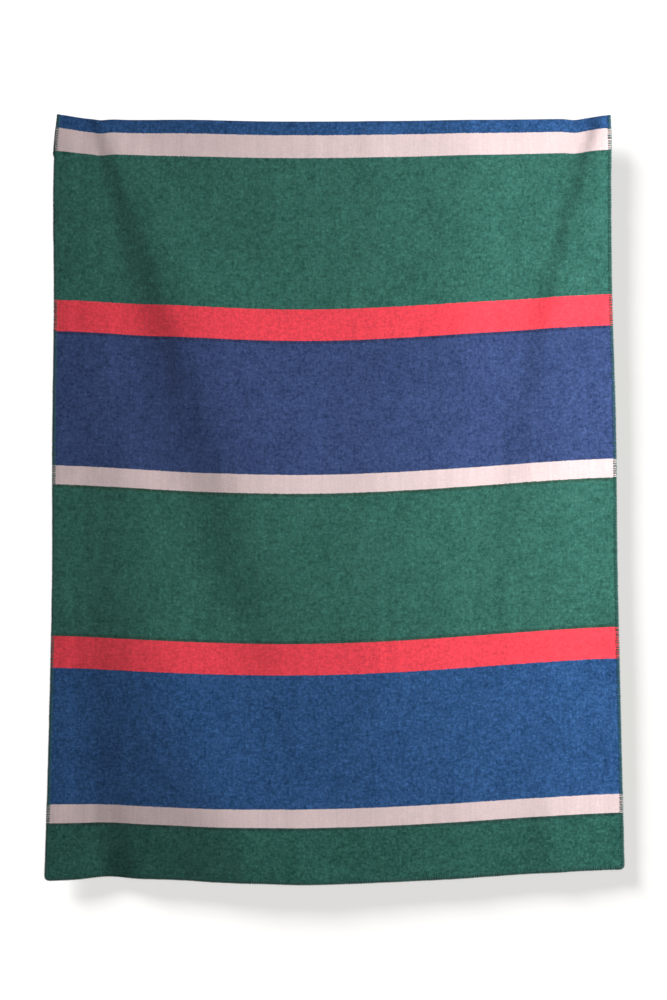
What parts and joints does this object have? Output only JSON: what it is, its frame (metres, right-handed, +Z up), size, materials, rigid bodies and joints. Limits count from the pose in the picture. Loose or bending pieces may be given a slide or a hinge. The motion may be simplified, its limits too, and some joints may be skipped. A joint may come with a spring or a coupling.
{
  "type": "wool blanket",
  "caption": "Brushed wool blanket that hangs by its top edge, which is turned over to the back, with soft uneven folds and overcast edges.",
  "frame": {"origin": "middle of the top fold, at the highest line of the cloth there", "axes": "+Z up, against the way the cloth hangs; +X along the top edge, to the right as seen from the front; the front faces -Y"},
  "size_m": [1.2866, 0.0401, 1.7272],
  "materials": {
    "wool_cloth": "brushed wool, woven in wide green, blue, red and pale pink bands, matt with a short soft nap",
    "edge_yarn": "dark green woollen yarn, matt"
  },
  "bodies": {
    "root": {"blanket": "wool_cloth"}
  },
  "joints": []
}
